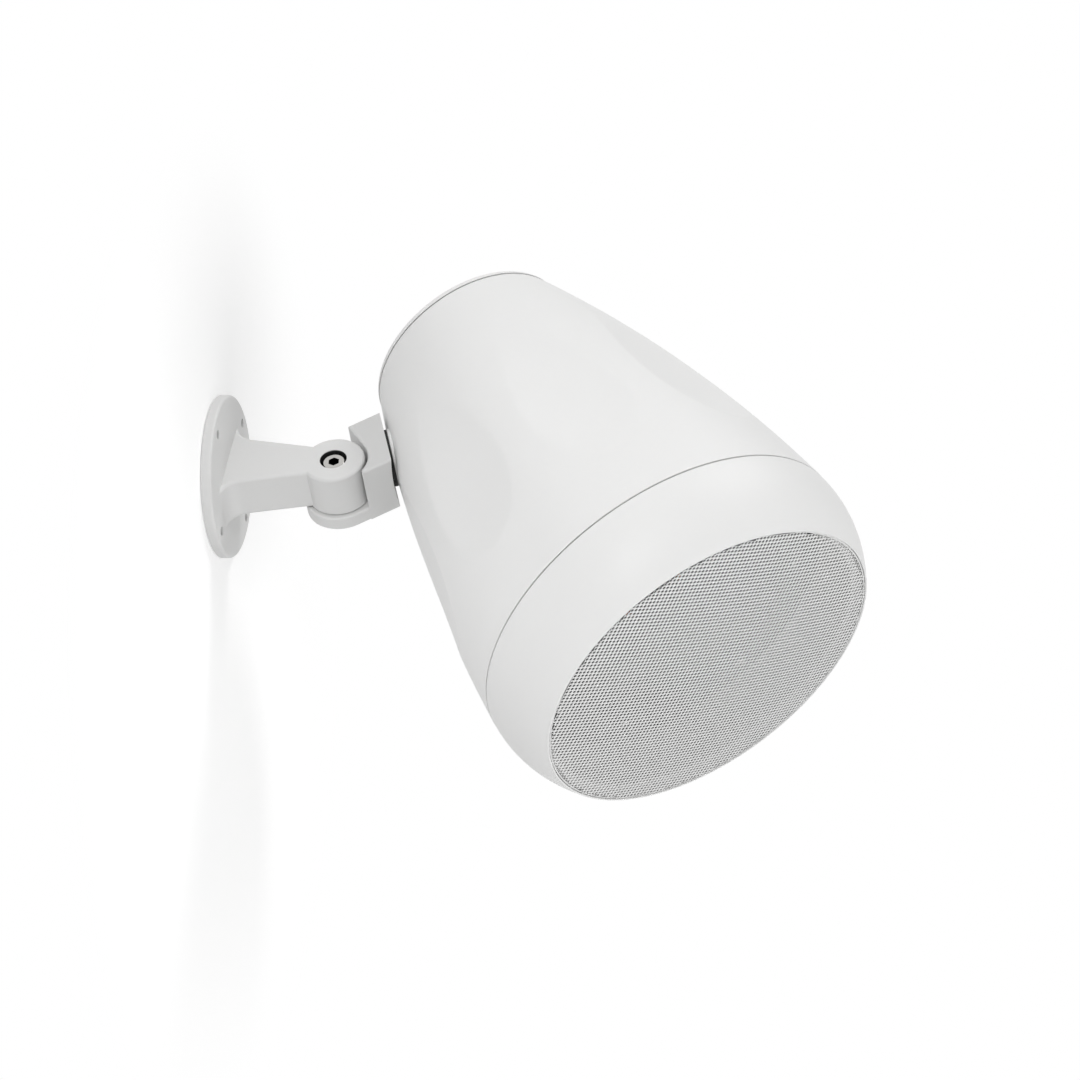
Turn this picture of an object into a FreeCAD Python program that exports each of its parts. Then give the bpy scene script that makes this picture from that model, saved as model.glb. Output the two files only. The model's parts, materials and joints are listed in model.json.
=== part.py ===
import FreeCAD, Part
import math
import os
from FreeCAD import Placement, Rotation, Vector

# A sound projector on a wall bracket, in millimetres.
# The origin is the centre of the wall plate's back face, +X points out of the wall and +Z up, along
# the knuckle bolt. The swivel block is drawn at the knuckle axis with the projector along its +X, and
# the projector is drawn about its own axis, from the rear seam at height 0 towards the grille. Both
# are then turned to the pan and tilt at which the object is shown.

# How the two joints stand
PAN_DEG = 36.0
TILT_DEG = 10.4

# Wall bracket
PLATE_R = 48.0
PLATE_T = 6.0
PLATE_EDGE = 1.8
WALL_HOLES = 4
WALL_HOLE_R = 2.75
WALL_HOLE_PCD = 80.0
WALL_HOLE_CLOCK_DEG = 10.0
KNUCKLE_X = 69.0
KNUCKLE_R = 18.4
KNUCKLE_H = 27.0
KNUCKLE_EDGE = 2.0
ARM_ROOT_HALF = 20.2
ARM_END_HALF = 9.5
ARM_FLARE_R = 13.0
ARM_EDGE = 2.0

# Eight millimetre screws and nuts of both joints
BOLT_R = 4.0
HEAD_R = 6.5
HEAD_H = 8.0
LOW_HEAD_H = 5.0
SOCKET_FLATS = 6.0
SOCKET_DEPTH = 4.0
LOW_SOCKET_DEPTH = 3.0
NUT_FLATS = 13.0
NUT_T = 6.5
BOLT_TIP = 2.0
COUNTERBORE_R = 8.0
COUNTERBORE_DEPTH = 10.0
RUNNING_FIT = 0.05
FACE_GAP = 0.05

# Swivel block
EAR_R = 21.0
EAR_T = 8.8
EAR_EDGE = 1.2
PAD_R = 17.4
PAD_H = 1.2
PAD_GROOVES = 8
PAD_GROOVE_W = 2.4
PAD_GROOVE_START_DEG = 4.0
PAD_HUB_R = 8.0
SADDLE_GAP = 1.8
SADDLE_WRAP_DEG = 62.0
NEAR_CORNER_X = 8.3
BLOCK_EDGE = 1.6
BLOCK_END_DISH_R = 142.0
NUT_POCKET_FIT = 0.2

# Tilt pivot
WALL_FROM_KNUCKLE = 35.9
PIVOT_S = 41.8
PIVOT_Z = -5.0
END_GAP = 1.5
WASHER_R = 17.0
WASHER_RECESS = 1.4
HEAD_SEAT_WEB = 5.5
BOSS_R = 17.5
BOSS_T = 9.0
BACKING_R = 15.0
BACKING_T = 3.0

# Housing
REAR_R = 63.0
FRONT_R = 116.0
MID_R = 97.3
HOUSING_L = 223.0
HOUSING_WALL = 4.2
SCOOPS = 8
SCOOP_TIP_S = 43.0
SCOOP_END_S = 183.5
SCOOP_DEPTH = 5.6
SCOOP_WALL = 4.0
SCOOP_SWEEP_R = 323.0
SCOOP_SWING_DEG = 7.5
SCOOP_LEAD = 0.15
SCOOP_OUT = 20.0
SCOOP_STEPS = 8
REAR_OPENING_R = 46.0
REAR_FLANGE_T = 5.0

# Seams, fits
SEAM_W = 0.8
SEAM_DEPTH = 1.6
SLIP_FIT = 0.3
THREAD_FIT = 0.05

# Rear cap
CAP_BULGE = 7.8
CAP_SHOULDER_R = 46.0
CAP_FLAT_R = 14.5
CAP_EDGE_IN = 1.0
CAP_DISH_R = 30.0
CAP_FLAT_OUT = 8.6
CAP_WALL = 4.4
CAP_SPIGOT_L = 3.0
CAP_SPIGOT_WALL = 3.2
CAP_SCREWS = 4
CAP_SCREW_PCR = 54.0
CAP_SCREW_CLOCK_DEG = 45.0
CAP_SCREW_SEAT = 4.0
CAP_SCREW_L = 9.5
SEAL_W = 3.6

# Small screws
SCREW_R = 2.0
SCREW_HEAD_R = 3.6
SCREW_HEAD_H = 2.3
SCREW_SLOT_R = 1.4
SCREW_SLOT_DEPTH = 1.2
SCREW_RECESS_R = 4.2

# Cable gland in the rear cap
GLAND_HOLE_R = 8.0
GLAND_BORE_R = 4.0
GLAND_FLATS = 22.0
GLAND_COLLAR_T = 5.0
GLAND_THREAD_R = 7.5
GLAND_NECK_L = 7.0
GLAND_NUT_L = 12.0
GLAND_NUT_TOP_R = 8.0
GLAND_LOCKNUT_T = 3.8
GLAND_TAIL_L = 0.2
GLAND_SEAL_R = 6.0

# Front ring and grille
RING_LIP_S = 272.0
RING_LIP_R = 104.6
RING_LIP = 0.8
RING_SHOULDER_R = 118.5
RING_SHOULDER_S = 248.8
GRILLE_BORE_R = 103.5
GRILLE_SKIRT_L = 6.0
RING_RIM_W = 18.0
RING_INNER_R = FRONT_R - RING_RIM_W
BAFFLE_SEAT_S = 232.0
SPIGOT_L = 9.0
SPIGOT_WALL = 2.8
GRILLE_T = 1.2
GRILLE_EDGE_DROP = 0.6
GRILLE_DOME = 5.0
GRILLE_HOLE_R = 7.6
GRILLE_PITCH = 24.0
GRILLE_MARGIN = 9.0

# Baffle
BAFFLE_T = 6.0
BAFFLE_HOLE_R = 74.0
BAFFLE_SCREWS = 6
BAFFLE_SCREW_INSET = 13.0
BAFFLE_SCREW_PCR = FRONT_R - BAFFLE_SCREW_INSET
BAFFLE_SCREW_L = 12.0

# Coaxial driver
FLANGE_R = 84.0
FLANGE_T = 3.0
FLANGE_INNER_R = 70.0
DRIVER_GASKET_T = 1.0
DRIVER_GASKET_INNER_R = 75.0
DRIVER_SCREWS = 6
DRIVER_SCREW_PCR = 78.5
DRIVER_SCREW_L = 8.0
BASKET_DEPTH = 43.0
BASKET_WALL = 2.4
BASKET_SEAT_T = 3.0
BASKET_SEAT_R = 30.0
BASKET_BASE_R = 48.0
SPIDER_SEAT_H = 13.0
SPIDER_WAVES = 5
SPIDER_WAVE_H = 1.2
SPIDER_T = 0.7
BASKET_WINDOWS = 6
BASKET_WINDOW_W = 34.0
BASKET_WINDOW_H = 19.0
COIL_R = 19.2
COIL_FORMER_T = 0.6
COIL_WINDING_T = 0.6
COIL_WINDING_L = 12.0
COIL_L = 32.0
COIL_GAP = 0.5
COIL_FLOOR_GAP = 8.0
CONE_OUTER_R = 62.0
CONE_T = 0.9
CONE_SAG = 5.0
SURROUND_LIP = 2.0
SURROUND_T = 1.0
SURROUND_ROLL = 4.5
SURROUND_RIM = 4.0
TOP_PLATE_R = 45.0
TOP_PLATE_T = 6.0
MAGNET_R = 48.0
MAGNET_INNER_R = 25.0
MAGNET_T = 16.0
BACK_PLATE_T = 6.0
POLE_GAP = 0.6
TWEETER_R = 16.0
TWEETER_L = 37.0
TWEETER_FLARE = 1.6
TWEETER_DOME_R = 12.6
TWEETER_DOME_H = 4.5
TWEETER_SEAT_DEPTH = 3.0

# Crossover board and line transformer behind the driver
BOARD_X = 70.0
BOARD_Y = 56.0
BOARD_T = 1.6
BOARD_S = 8.0
BOARD_HOLE_INSET = 7.0
STANDOFF_R = 4.0
BOARD_SCREW_L = 8.0
CORE_X = 40.0
CORE_Y = 34.0
CORE_H = 28.0
CORE_LIMB = 10.0
CORE_AT_X = -13.0
COIL_COVER = 4.0
INDUCTOR_R = 8.0
INDUCTOR_H = 13.0
INDUCTOR_BORE_R = 3.0
CAPACITOR_R = 5.0
CAPACITOR_H = 17.0
CAPACITOR_EDGE = 1.0
CAPACITOR_STEP = 11.0
PARTS_AT_X = 16.0
PARTS_STEP = 17.0
TERMINAL_X = 12.0
TERMINAL_Y = 16.0
TERMINAL_H = 10.0
TERMINAL_HOLE_R = 1.6

ORIGIN = Vector(0, 0, 0)
X_AXIS = Vector(1, 0, 0)
Y_AXIS = Vector(0, 1, 0)
Z_AXIS = Vector(0, 0, 1)


def rs(radius, along):
    """A point of a turned profile: distance from the axis, distance along it."""
    return Vector(radius, 0, along)


def outline(start, *moves):
    """A closed wire. A move is a point, or ("arc" or "curve", through or control point, end)."""
    edges = []
    here = start
    for move in moves + (start,):
        if isinstance(move, Vector):
            edge = Part.makeLine(here, move)
            here = move
        else:
            kind, by, end = move
            if kind == "arc":
                edge = Part.Arc(here, by, end).toShape()
            else:
                bend = Part.BezierCurve()
                bend.setPoles([here, by, end])
                edge = bend.toShape()
            here = end
        edges.append(edge)
    return Part.Wire(edges)


def turned(start, *moves):
    """The solid swept by a profile once round the Z axis."""
    return Part.Face(outline(start, *moves)).revolve(ORIGIN, Z_AXIS, 360)


def tube(outer, inner, low, high):
    return turned(rs(inner, low), rs(outer, low), rs(outer, high), rs(inner, high))


def ball_arc(radius, rise, low):
    """The arc of a sphere from a given radius at height low to the axis, higher by rise."""
    ball = (radius ** 2 + rise ** 2) / (2 * rise)
    half = math.asin(radius / ball) / 2
    through = rs(ball * math.sin(half), low + rise - ball * (1 - math.cos(half)))
    return ("arc", through, rs(0, low + rise))


def hexagon(flats, height, low=0.0):
    corner = flats / math.sqrt(3)
    points = []
    for i in range(6):
        angle = math.radians(60 * i)
        points.append(Vector(corner * math.cos(angle), corner * math.sin(angle), low))
    return Part.Face(Part.makePolygon(points + points[:1])).extrude(Z_AXIS * height)


def around(shape, count, start_deg=0.0):
    """Copies of a shape, evenly spaced about the Z axis."""
    copies = []
    for i in range(count):
        copy = shape.copy()
        copy.rotate(ORIGIN, Z_AXIS, start_deg + 360.0 * i / count)
        copies.append(copy)
    return copies


def aimed(shape, base, direction):
    """A shape drawn up the Z axis, stood at base and turned to point along direction."""
    return shape.transformed(Placement(base, Rotation(Z_AXIS, direction)).toMatrix(), True)


def rounded(shape, radius, chosen):
    """The shape with a fillet on each edge for which chosen(edge's box) is true."""
    edges = [edge for edge in shape.Edges if chosen(edge.BoundBox)]
    return shape.makeFillet(radius, edges)


def socket_screw(head_h, socket_depth, length):
    """A socket head screw, its head's seat at height 0 and its head below."""
    head = Part.makeCylinder(HEAD_R, head_h, Vector(0, 0, -head_h))
    head = rounded(head, 0.6, lambda box: box.ZMax < -head_h + 0.01)
    shank = Part.makeCylinder(BOLT_R, length)
    return head.fuse(shank).removeSplitter().cut(hexagon(SOCKET_FLATS, socket_depth, -head_h))


def hex_nut():
    bore = Part.makeCylinder(BOLT_R + THREAD_FIT, NUT_T)
    return hexagon(NUT_FLATS, NUT_T).cut(bore)


def small_screw(length):
    """A pan head screw, its head's seat at height 0 and its shank up the Z axis."""
    head = turned(rs(0, 0), rs(SCREW_HEAD_R, 0), rs(SCREW_HEAD_R, -SCREW_HEAD_H / 2),
                  ("curve", rs(SCREW_HEAD_R, -SCREW_HEAD_H), rs(0, -SCREW_HEAD_H)))
    shank = Part.makeCylinder(SCREW_R, length)
    drive = Part.makeCylinder(SCREW_SLOT_R, SCREW_SLOT_DEPTH, Vector(0, 0, -SCREW_HEAD_H))
    return head.fuse(shank).removeSplitter().cut(drive)


def flipped(shape, height):
    """The shape turned upside down and stood with its own height 0 at the given height."""
    return aimed(shape, Vector(0, 0, height), Vector(0, 0, -1))


# Wall bracket

def arm_outline():
    """The arm from above: straight tapering sides that flare into the plate by tangent arcs."""
    slope = (ARM_ROOT_HALF - ARM_END_HALF) / (KNUCKLE_X - PLATE_T)
    side = math.hypot(1, slope)
    centre = Vector(PLATE_T + ARM_FLARE_R, ARM_ROOT_HALF + ARM_FLARE_R * (side - slope), 0)
    on_plate = centre - X_AXIS * ARM_FLARE_R
    on_side = centre - Vector(slope, 1, 0) * (ARM_FLARE_R / side)
    turn = on_plate + on_side - centre * 2
    middle = centre + turn.normalize() * ARM_FLARE_R
    root = Vector(PLATE_T / 2, on_plate.y, 0)
    end = Vector(KNUCKLE_X, ARM_END_HALF, 0)
    across = lambda point: Vector(point.x, -point.y, 0)
    return outline(root, on_plate, ("arc", middle, on_side), end, across(end), across(on_side),
                   ("arc", across(middle), across(on_plate)), across(root))


def wall_bracket():
    plate = Part.makeCylinder(PLATE_R, PLATE_T, ORIGIN, X_AXIS)
    plate = rounded(plate, PLATE_EDGE, lambda box: box.XMin > PLATE_T - 0.01)
    arm = Part.Face(arm_outline()).extrude(Z_AXIS * KNUCKLE_H)
    arm.translate(Vector(0, 0, -KNUCKLE_H / 2))
    level = lambda box: box.ZMax - box.ZMin < 0.01
    arm = rounded(arm, ARM_EDGE, lambda box: level(box) and box.XMax - box.XMin > 1.0 and
                  box.XMax > PLATE_T + 0.5)
    foot = Vector(KNUCKLE_X, 0, -KNUCKLE_H / 2)
    knuckle = Part.makeCylinder(KNUCKLE_R, KNUCKLE_H, foot)
    knuckle = rounded(knuckle, KNUCKLE_EDGE, lambda box: box.ZMin > KNUCKLE_H / 2 - 0.01)
    body = plate.fuse(arm).fuse(knuckle).removeSplitter()
    seat = Vector(KNUCKLE_X, 0, KNUCKLE_H / 2 - COUNTERBORE_DEPTH)
    body = body.cut(Part.makeCylinder(COUNTERBORE_R, COUNTERBORE_DEPTH, seat))
    body = body.cut(Part.makeCylinder(BOLT_R + RUNNING_FIT, KNUCKLE_H, foot))
    for i in range(WALL_HOLES):
        angle = math.radians(WALL_HOLE_CLOCK_DEG + 360.0 * i / WALL_HOLES)
        at = Vector(0, math.cos(angle), math.sin(angle)) * (WALL_HOLE_PCD / 2)
        body = body.cut(Part.makeCylinder(WALL_HOLE_R, PLATE_T, at, X_AXIS))
    return body


# Profile of the housing

def outer_radius(along):
    """The housing's outside: a parabola through its rear, middle and front radius."""
    t = along / HOUSING_L
    swell = 4 * (MID_R - (REAR_R + FRONT_R) / 2)
    return REAR_R + (FRONT_R - REAR_R) * t + swell * t * (1 - t)


def outer_slope(along):
    t = along / HOUSING_L
    swell = 4 * (MID_R - (REAR_R + FRONT_R) / 2)
    return ((FRONT_R - REAR_R) + swell * (1 - 2 * t)) / HOUSING_L


def wall_curve(inset, low, high):
    """The housing's profile from low to high, moved in by inset."""
    middle = (low + high) / 2
    control = outer_radius(low) + outer_slope(low) * (middle - low) - inset
    return ("curve", rs(control, middle), rs(outer_radius(high) - inset, high))


# Swivel block and its hardware, drawn at the knuckle axis

PIVOT_TURN = math.atan(outer_slope(PIVOT_S))
PIVOT_AXIS = Vector(math.cos(PIVOT_TURN), -math.sin(PIVOT_TURN), 0)
PIVOT_POINT = Vector(WALL_FROM_KNUCKLE, 0, PIVOT_Z)
EAR_TOP = -KNUCKLE_H / 2 - PAD_H
EAR_FOOT = EAR_TOP - EAR_T
SADDLE_R = KNUCKLE_R + SADDLE_GAP


def on_pivot(depth):
    """A point of the tilt axis, measured from the housing's wall towards its inside."""
    return PIVOT_POINT + PIVOT_AXIS * depth


def block_end_x(across):
    """Where the block's slanted end meets the line that runs along X at a given Y."""
    return WALL_FROM_KNUCKLE - (END_GAP - across * math.sin(PIVOT_TURN)) / math.cos(PIVOT_TURN)


def block_outline():
    """The block from above: a straight far face, an arc round the knuckle and a slanted end."""
    wrap = -math.radians(SADDLE_WRAP_DEG)
    arc_end = Vector(SADDLE_R * math.cos(wrap), SADDLE_R * math.sin(wrap), 0)
    arc_middle = Vector(SADDLE_R * math.cos(wrap / 2), SADDLE_R * math.sin(wrap / 2), 0)
    return outline(Vector(block_end_x(EAR_R), EAR_R, 0), Vector(SADDLE_R, EAR_R, 0),
                   Vector(SADDLE_R, 0, 0), ("arc", arc_middle, arc_end),
                   Vector(NEAR_CORNER_X, -EAR_R, 0), Vector(block_end_x(-EAR_R), -EAR_R, 0))


def ear():
    disc = Part.makeCylinder(EAR_R, EAR_T, Vector(0, 0, EAR_FOOT))
    reach = SADDLE_R + BLOCK_EDGE
    bridge = Part.makeBox(reach, 2 * EAR_R, EAR_T, Vector(0, -EAR_R, EAR_FOOT))
    tongue = disc.fuse(bridge).removeSplitter()
    tongue = rounded(tongue, EAR_EDGE, lambda box: box.ZMax - box.ZMin < 0.01 and box.XMax < reach - 0.01)
    pad = Part.makeCylinder(PAD_R, PAD_H + EAR_EDGE, Vector(0, 0, EAR_TOP - EAR_EDGE))
    groove = Part.makeBox(PAD_R, PAD_GROOVE_W, PAD_H, Vector(PAD_HUB_R, -PAD_GROOVE_W / 2, EAR_TOP))
    pad = pad.cut(Part.makeCompound(around(groove, PAD_GROOVES, PAD_GROOVE_START_DEG)))
    shave = Part.makeCylinder(PAD_R, FACE_GAP, Vector(0, 0, -KNUCKLE_H / 2 - FACE_GAP))
    return tongue.fuse(pad.cut(shave))


def swivel_block():
    height = KNUCKLE_H / 2 - EAR_FOOT
    block = Part.Face(block_outline()).extrude(Z_AXIS * height)
    block.translate(Vector(0, 0, EAR_FOOT))
    top = KNUCKLE_H / 2 - 0.01
    end = block_end_x(-EAR_R)
    block = rounded(block, BLOCK_EDGE, lambda box: box.ZMin > top and box.XMin < end - 0.01)
    block = block.fuse(ear())
    dish_axis = on_pivot(BLOCK_END_DISH_R - block_dish_depth() - END_GAP)
    along = Vector(PIVOT_AXIS.y, -PIVOT_AXIS.x, 0)
    dish = Part.makeCylinder(BLOCK_END_DISH_R, 8 * EAR_R, dish_axis - along * (4 * EAR_R), along)
    block = block.cut(dish)
    recess = Part.makeCylinder(WASHER_R + SLIP_FIT, WASHER_RECESS + END_GAP,
                               on_pivot(-END_GAP - WASHER_RECESS), PIVOT_AXIS)
    block = block.cut(recess)
    seat = on_pivot(-END_GAP - HEAD_SEAT_WEB)
    block = block.cut(Part.makeCylinder(BOLT_R + THREAD_FIT, HEAD_SEAT_WEB, seat, PIVOT_AXIS))
    block = block.cut(Part.makeCylinder(HEAD_R + SLIP_FIT, 2 * EAR_R, seat, PIVOT_AXIS * -1))
    foot = Vector(0, 0, EAR_FOOT)
    block = block.cut(Part.makeCylinder(BOLT_R + THREAD_FIT, EAR_T + PAD_H, foot))
    return block.cut(hexagon(NUT_FLATS + NUT_POCKET_FIT, NUT_T, EAR_FOOT)).removeSplitter()


def block_dish_depth():
    """How deep the dished end is at its middle, from its own radius and the block's height."""
    half = (KNUCKLE_H / 2 - EAR_FOOT) / 2
    return BLOCK_END_DISH_R - math.sqrt(BLOCK_END_DISH_R ** 2 - half ** 2)


def knuckle_bolt():
    seat = KNUCKLE_H / 2 - COUNTERBORE_DEPTH
    length = seat - EAR_FOOT - FACE_GAP
    return flipped(socket_screw(HEAD_H, SOCKET_DEPTH, length), seat + FACE_GAP)


def knuckle_nut():
    nut = hex_nut()
    nut.translate(Vector(0, 0, EAR_FOOT))
    return nut


def pivot_bolt():
    length = END_GAP + HEAD_SEAT_WEB + BOSS_T + BACKING_T + NUT_T + BOLT_TIP
    screw = socket_screw(LOW_HEAD_H, LOW_SOCKET_DEPTH, length)
    return aimed(screw, on_pivot(-END_GAP - HEAD_SEAT_WEB), PIVOT_AXIS)


def pivot_washer():
    thick = END_GAP + WASHER_RECESS - FACE_GAP
    disc = tube(WASHER_R, BOLT_R + THREAD_FIT, 0, thick)
    return aimed(disc, on_pivot(-END_GAP - WASHER_RECESS), PIVOT_AXIS)


def pivot_nut():
    return aimed(hex_nut(), on_pivot(BOSS_T + BACKING_T + FACE_GAP), PIVOT_AXIS)


# Housing, drawn about the projector's axis with the bracket on its +X side

INWARD = Vector(-math.cos(PIVOT_TURN), 0, math.sin(PIVOT_TURN))
WALL_POINT = rs(outer_radius(PIVOT_S), PIVOT_S)


def scoop_cutter(sink):
    """The tool that presses a teardrop scoop: its floor sinks to a point at the rear end."""
    floor = []
    for i in range(SCOOP_STEPS + 1):
        t = i / SCOOP_STEPS
        along = SCOOP_TIP_S + (SCOOP_END_S - SCOOP_TIP_S) * t
        depth = SCOOP_DEPTH * 27 / 4 * t * t * (1 - t) - SCOOP_LEAD
        floor.append(rs(outer_radius(along) - depth - sink, along))
    curve = Part.BSplineCurve()
    curve.interpolate(floor)
    run = (floor[-1] - floor[0]).normalize()
    out = Vector(run.z, 0, -run.x)
    tip_out = floor[0] + out * SCOOP_OUT
    end_out = floor[-1] + out * SCOOP_OUT
    face = Part.Face(Part.Wire([curve.toShape(), Part.makeLine(floor[-1], end_out),
                                Part.makeLine(end_out, tip_out), Part.makeLine(tip_out, floor[0])]))
    centre = floor[SCOOP_STEPS // 2] + out * SCOOP_SWEEP_R
    face.rotate(centre, run, -SCOOP_SWING_DEG)
    return face.revolve(centre, run, 2 * SCOOP_SWING_DEG)


def housing():
    shell = turned(rs(0, 0), rs(REAR_R, 0), wall_curve(0, 0, HOUSING_L), rs(0, HOUSING_L))
    shell = shell.cut(around(scoop_cutter(0), SCOOPS))
    inner_low = outer_radius(REAR_FLANGE_T) - HOUSING_WALL
    room = turned(rs(0, REAR_FLANGE_T), rs(inner_low, REAR_FLANGE_T),
                  wall_curve(HOUSING_WALL, REAR_FLANGE_T, HOUSING_L), rs(0, HOUSING_L))
    room = room.cut(around(scoop_cutter(SCOOP_WALL), SCOOPS))
    shell = shell.cut(room)
    shell = shell.cut(Part.makeCylinder(REAR_OPENING_R, REAR_FLANGE_T))
    boss = Part.makeCylinder(BOSS_R, BOSS_T, WALL_POINT, INWARD)
    shell = shell.fuse(boss)
    shell = shell.cut(Part.makeCylinder(BOLT_R + RUNNING_FIT, BOSS_T, WALL_POINT, INWARD))
    hole = Part.makeCylinder(SCREW_R + THREAD_FIT, REAR_FLANGE_T, Vector(CAP_SCREW_PCR, 0, 0))
    return shell.cut(around(hole, CAP_SCREWS, CAP_SCREW_CLOCK_DEG)).removeSplitter()


def pivot_backing():
    plate = tube(BACKING_R, BOLT_R + RUNNING_FIT, 0, BACKING_T)
    return aimed(plate, WALL_POINT + INWARD * BOSS_T, INWARD)


# Rear cap and gland

def cap_inside():
    return -CAP_FLAT_OUT + CAP_WALL


def rear_cap():
    spigot = REAR_OPENING_R - SLIP_FIT
    hollow = spigot - CAP_SPIGOT_WALL
    cap = turned(rs(REAR_R, -SEAM_W),
                 ("curve", rs(REAR_R - CAP_EDGE_IN, -CAP_BULGE), rs(CAP_SHOULDER_R, -CAP_BULGE)),
                 ("curve", rs(CAP_DISH_R, -CAP_FLAT_OUT), rs(CAP_FLAT_R, -CAP_FLAT_OUT)),
                 rs(GLAND_HOLE_R, -CAP_FLAT_OUT), rs(GLAND_HOLE_R, cap_inside()),
                 rs(hollow, cap_inside()), rs(hollow, CAP_SPIGOT_L), rs(spigot, CAP_SPIGOT_L),
                 rs(spigot, -SEAM_W))
    recess_foot = Vector(CAP_SCREW_PCR, 0, -CAP_SCREW_SEAT - CAP_BULGE)
    recess = Part.makeCylinder(SCREW_RECESS_R, CAP_BULGE, recess_foot)
    hole = Part.makeCylinder(SCREW_R + THREAD_FIT, CAP_BULGE, Vector(CAP_SCREW_PCR, 0, -CAP_BULGE))
    cap = cap.cut(around(recess, CAP_SCREWS, CAP_SCREW_CLOCK_DEG))
    cap = cap.cut(around(hole, CAP_SCREWS, CAP_SCREW_CLOCK_DEG))
    for at in board_corners(cap_inside()):
        post = Part.makeCylinder(STANDOFF_R, BOARD_S - cap_inside(), at)
        screw_end = Vector(at.x, at.y, BOARD_S + BOARD_T - BOARD_SCREW_L)
        cap = cap.fuse(post).cut(Part.makeCylinder(SCREW_R + THREAD_FIT, BOARD_SCREW_L, screw_end))
    return cap.removeSplitter()


def rear_seal():
    outer = REAR_R - SEAM_DEPTH
    return tube(outer, outer - SEAL_W, -SEAM_W, 0)


def rear_cap_screws():
    screw = small_screw(CAP_SCREW_L)
    screw.translate(Vector(CAP_SCREW_PCR, 0, -CAP_SCREW_SEAT))
    return Part.makeCompound(around(screw, CAP_SCREWS, CAP_SCREW_CLOCK_DEG))


def gland_body():
    collar = -CAP_FLAT_OUT - GLAND_COLLAR_T
    body = hexagon(GLAND_FLATS, GLAND_COLLAR_T, collar)
    neck = Part.makeCylinder(GLAND_THREAD_R, GLAND_NECK_L, Vector(0, 0, collar - GLAND_NECK_L))
    tail_l = CAP_WALL + GLAND_LOCKNUT_T + GLAND_TAIL_L
    tail = Part.makeCylinder(GLAND_HOLE_R - THREAD_FIT, tail_l, Vector(0, 0, -CAP_FLAT_OUT))
    bore = Part.makeCylinder(GLAND_BORE_R, GLAND_NECK_L + GLAND_COLLAR_T + tail_l,
                             Vector(0, 0, collar - GLAND_NECK_L))
    return body.fuse(neck).fuse(tail).removeSplitter().cut(bore)


def gland_nut():
    """The domed nut over the neck: a hexagon whose far end is turned to a cone."""
    low = -CAP_FLAT_OUT - GLAND_COLLAR_T
    top = low - GLAND_NUT_L
    blank = hexagon(GLAND_FLATS, GLAND_NUT_L, top)
    corner = GLAND_FLATS / math.sqrt(3)
    cone = turned(rs(0, top), rs(GLAND_NUT_TOP_R, top), rs(corner, low - GLAND_NECK_L), rs(corner, low),
                  rs(0, low))
    room = Part.makeCylinder(GLAND_THREAD_R + THREAD_FIT, GLAND_NECK_L, Vector(0, 0, low - GLAND_NECK_L))
    mouth = Part.makeCylinder(GLAND_SEAL_R, GLAND_NUT_L, Vector(0, 0, top))
    return blank.common(cone).cut(room).cut(mouth)


def gland_seal():
    low = -CAP_FLAT_OUT - GLAND_COLLAR_T - GLAND_NECK_L
    top = -CAP_FLAT_OUT - GLAND_COLLAR_T - GLAND_NUT_L
    return tube(GLAND_SEAL_R - THREAD_FIT, GLAND_BORE_R, top, low)


def gland_locknut():
    nut = hexagon(GLAND_FLATS, GLAND_LOCKNUT_T, cap_inside())
    return nut.cut(Part.makeCylinder(GLAND_HOLE_R, GLAND_LOCKNUT_T, Vector(0, 0, cap_inside())))


# Front ring, grille and baffle

RING_FOOT = HOUSING_L + SEAM_W
SPIGOT_R = outer_radius(HOUSING_L - SPIGOT_L) - HOUSING_WALL - SLIP_FIT
POCKET_R = SPIGOT_R - SPIGOT_WALL
GRILLE_R = GRILLE_BORE_R - SLIP_FIT
SKIRT_FOOT = RING_LIP_S - GRILLE_EDGE_DROP - GRILLE_SKIRT_L


def front_ring():
    lip_in = RING_LIP * (1 - math.sqrt(0.5))
    ring = turned(rs(FRONT_R, RING_FOOT),
                  ("curve", rs(RING_SHOULDER_R, RING_SHOULDER_S), rs(RING_LIP_R, RING_LIP_S - RING_LIP)),
                  ("arc", rs(RING_LIP_R - lip_in, RING_LIP_S - lip_in),
                   rs(RING_LIP_R - RING_LIP, RING_LIP_S)),
                  rs(GRILLE_BORE_R, RING_LIP_S), rs(GRILLE_BORE_R, SKIRT_FOOT),
                  rs(RING_INNER_R, SKIRT_FOOT), rs(RING_INNER_R, BAFFLE_SEAT_S),
                  rs(POCKET_R, BAFFLE_SEAT_S), rs(POCKET_R, HOUSING_L - SPIGOT_L),
                  rs(SPIGOT_R, HOUSING_L - SPIGOT_L), rs(SPIGOT_R, RING_FOOT))
    hole = Part.makeCylinder(SCREW_R + THREAD_FIT, BAFFLE_SCREW_L,
                             Vector(BAFFLE_SCREW_PCR, 0, BAFFLE_SEAT_S - BAFFLE_T))
    return ring.cut(around(hole, BAFFLE_SCREWS))


def ring_gasket():
    return tube(FRONT_R - SEAM_DEPTH, SPIGOT_R + RUNNING_FIT, HOUSING_L, RING_FOOT)


def grille_dome(radius, edge):
    """The solid under a spherical cap that rises from the given edge, down to the skirt's foot."""
    return turned(rs(0, SKIRT_FOOT), rs(radius, SKIRT_FOOT), rs(radius, edge),
                  ball_arc(radius, GRILLE_DOME, edge))


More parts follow.
